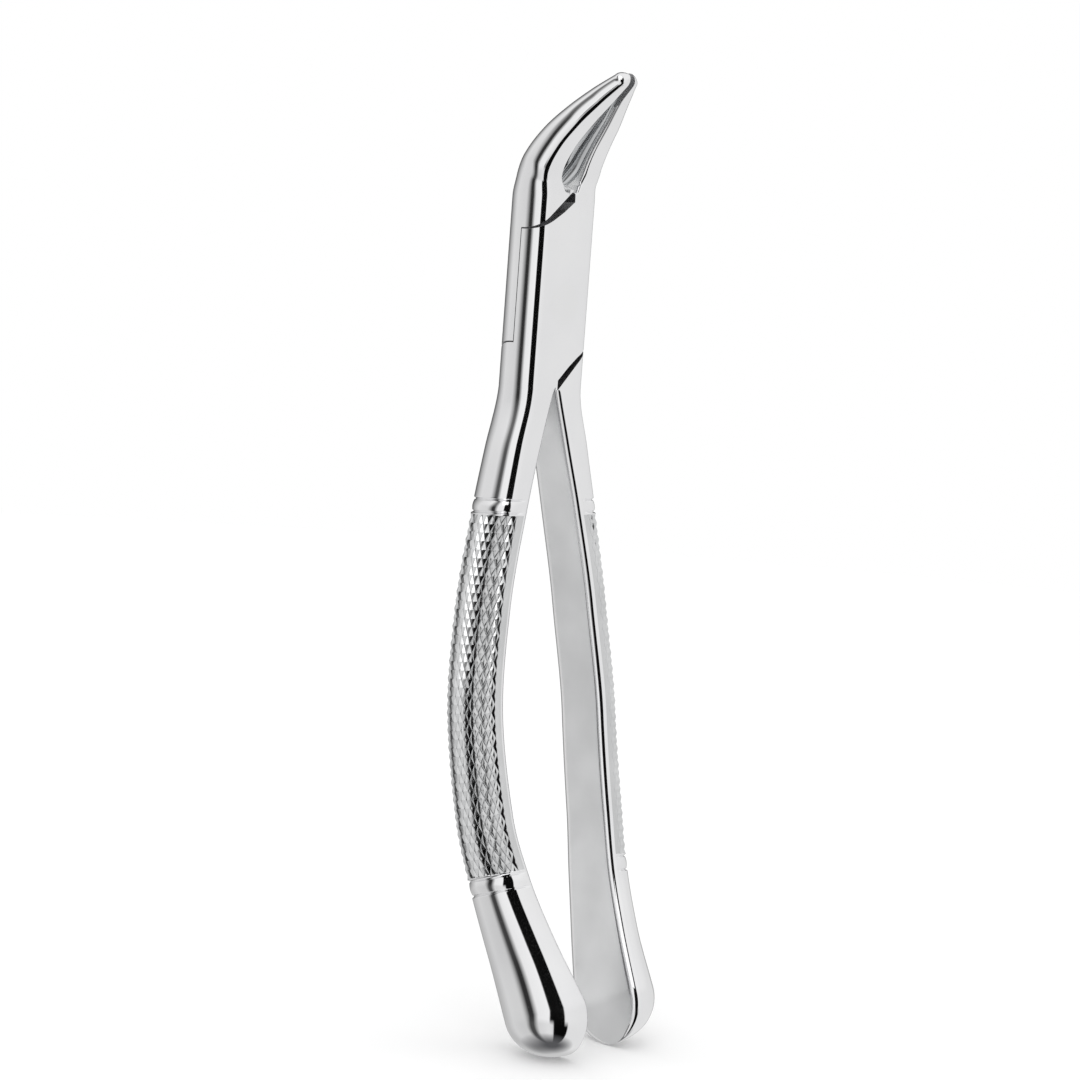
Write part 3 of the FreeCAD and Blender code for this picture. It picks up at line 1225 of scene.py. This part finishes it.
@dataclass(frozen=True)
class Studio:
    """The floor, the room's light and the camera."""

    around: float = 47.636
    distance: float = 480.1
    height: float = 3.55
    yaw: float = 0.248
    pitch: float = 5.52
    roll: float = 4.254
    lens: float = 88.6
    floor_radius: float = 0.9
    floor_colour: float = 0.9
    floor_glow: float = 0.06
    room_level: float = 1.05
    display_power: float = 2.2
    below: Pair = (-0.16, -0.42)
    above: Pair = (0.2, 0.55)
    deep: Pair = (-0.78, -0.99)
    deep_colour: Triple = (0.1, 0.1, 0.105)
    sky: Pair = (0.8, 0.95)
    sky_colour: Triple = (0.9, 0.9, 0.9)
    lamp_size: float = 0.6
    lamp_power: float = 1.2
    lamp_place: Triple = (-0.5, -0.35, 0.75)
    low_screens: tuple[Pair, ...] = (
        (-180, 0.75), (-160, 0.75), (-122, 0.8), (-100, 0.9), (-3, 0.9), (0, 0.07), (44, 0.07),
        (47, 0.86), (59, 0.9), (90, 0.85), (103, 0.3), (112, 0.3), (122, 0.8), (150, 0.84),
        (180, 0.75),
    )
    level_screens: tuple[Pair, ...] = (
        (-180, 0.6), (-160, 0.35), (-122, 0.3), (-100, 0.88), (8, 0.93), (11, 0.07), (56, 0.07),
        (59, 0.97), (90, 0.94), (103, 0.2), (112, 0.2), (126, 0.85), (150, 0.88), (180, 0.6),
    )
    high_screens: tuple[Pair, ...] = (
        (-180, 0.6), (-160, 0.35), (-122, 0.32), (-100, 0.95), (8, 0.95), (11, 0.07), (56, 0.07),
        (59, 0.98), (90, 0.97), (104, 0.45), (112, 0.45), (128, 0.95), (150, 0.9), (180, 0.6),
    )

    def camera(self) -> None:
        """Makes the camera and makes it the scene's."""
        turn = math.radians(self.around)
        place = Vector((-math.sin(turn), -math.cos(turn), 0)) * self.distance
        place.z = self.height
        heading = turn + math.radians(self.yaw)
        tilt = math.radians(self.pitch)
        level = math.cos(tilt)
        ahead = Vector((math.sin(heading) * level, math.cos(heading) * level, -math.sin(tilt)))
        right = ahead.cross(Vector((0, 0, 1))).normalized()
        up = right.cross(ahead)
        cosine, sine = math.cos(math.radians(self.roll)), math.sin(math.radians(self.roll))
        right, up = right * cosine + up * sine, up * cosine - right * sine
        data = bpy.data.cameras.new("camera")
        data.lens = self.lens
        data.sensor_width = 36.0
        data.clip_start = 0.01
        data.clip_end = 20.0
        camera = bpy.data.objects.new("camera", data)
        bpy.context.scene.collection.objects.link(camera)
        axes = Matrix((right, up, -ahead)).transposed().to_4x4()
        camera.matrix_world = Matrix.Translation(place * MM) @ axes
        bpy.context.scene.camera = camera

    def floor(self, height: float) -> None:
        """A pale floor under the object, which keeps its shadow and is white elsewhere."""
        deselect_all()
        bpy.ops.mesh.primitive_circle_add(
            vertices=96, radius=self.floor_radius, fill_type="NGON", location=(0, 0, height)
        )
        floor = bpy.context.object
        floor.name = "floor"
        material = bpy.data.materials.new("floor_white")
        nodes = Nodes.emptied(material)
        path = nodes.add("LightPath").outputs
        seen = nodes.math("MAXIMUM", path["Is Camera Ray"], path["Is Glossy Ray"])
        seen = nodes.math("MAXIMUM", seen, path["Is Transmission Ray"])
        strength = nodes.math("MULTIPLY", seen, self.floor_glow)
        glow = nodes.add("Emission", {"Color": (1, 1, 1, 1), "Strength": strength})
        level = self.floor_colour
        matt = nodes.add("BsdfDiffuse", {"Color": (level, level, level, 1)})
        both = nodes.add("AddShader", {0: glow.outputs[0], 1: matt.outputs[0]})
        clear = nodes.add("BsdfTransparent")
        shown = nodes.add(
            "MixShader", {0: path["Is Glossy Ray"], 1: both.outputs[0], 2: clear.outputs[0]}
        )
        nodes.give("ShaderNodeOutputMaterial", shown.outputs[0])
        floor.data.materials.append(material)

    def shown(self, grey: float) -> tuple[float, float, float, float]:
        """The colour that displays as the given grey."""
        level = grey**self.display_power
        return level, level, level, 1.0

    def room(self) -> None:
        """A bright room with dark screens, which polished steel mirrors."""
        world = bpy.data.worlds.new("room")
        bpy.context.scene.world = world
        nodes = Nodes.emptied(world)
        place = nodes.add("TexCoord").outputs["Generated"]
        axes = nodes.add("SeparateXYZ", {0: place}).outputs
        left = nodes.math("MULTIPLY", axes[0], -1.0)
        front = nodes.math("MULTIPLY", axes[1], -1.0)
        turn = nodes.math("DIVIDE", nodes.math("ARCTAN2", left, front), math.tau)
        share = nodes.math("ADD", turn, 0.5)
        screens = [
            nodes.ramp(share, [((angle + 180) / 360, self.shown(grey)) for angle, grey in stops])
            for stops in (self.low_screens, self.level_screens, self.high_screens)
        ]
        mirrored = screens[1]
        for (start, end), other in (
            (self.below, screens[0]),
            (self.above, screens[2]),
            (self.deep, (*self.deep_colour, 1)),
            (self.sky, (*self.sky_colour, 1)),
        ):
            factor = nodes.add("MapRange", {"Value": axes[2], "From Min": start, "From Max": end})
            mirrored = nodes.mix(factor.outputs[0], mirrored, other)
        path = nodes.add("LightPath").outputs
        level = self.room_level
        lit = nodes.mix(path["Is Glossy Ray"], (level, level, level, 1), mirrored)
        seen = nodes.math("MAXIMUM", path["Is Camera Ray"], path["Is Transmission Ray"])
        light = nodes.add("Background", {"Color": nodes.mix(seen, lit, (1, 1, 1, 1)), "Strength": 1.0})
        nodes.give("ShaderNodeOutputWorld", light.outputs[0])

    def lamp(self) -> None:
        """One large soft lamp from the upper left."""
        data = bpy.data.lights.new("softbox", "AREA")
        data.size = self.lamp_size
        data.energy = self.lamp_power
        lamp = bpy.data.objects.new("softbox", data)
        bpy.context.scene.collection.objects.link(lamp)
        place = Vector(self.lamp_place)
        turn = place.to_track_quat("Z", "Y").to_matrix().to_4x4()
        lamp.matrix_world = Matrix.Translation(place) @ turn


def main() -> None:
    """Builds the studio, the two halves and the rivet, and reports each."""
    logging.basicConfig(level=logging.INFO, format="%(name)s: %(message)s")
    bpy.context.scene.view_settings.view_transform = "Standard"
    studio = Studio()
    studio.camera()
    studio.room()
    studio.lamp()
    studio.floor(cad_box[0].z)
    texture = SteelTexture()
    finishes = Finishes()
    slots = finishes.slots(texture)
    handle, beak, rivet = Handle(), Beak(), Rivet()
    halves = (
        Half("front_steel", "front", "front_half", "front_half_steel", 1),
        Half("rear_steel", "rear", "rear_half", "rear_half_steel", -1),
    )
    made = [half.build(handle, beak, rivet, slots) for half in halves]
    made.append(rivet.build(finishes.rivet.build(texture)))
    for piece in made:
        log.info("%s: %d faces", piece.name, len(piece.data.polygons))


if __name__ == "__main__":
    main()
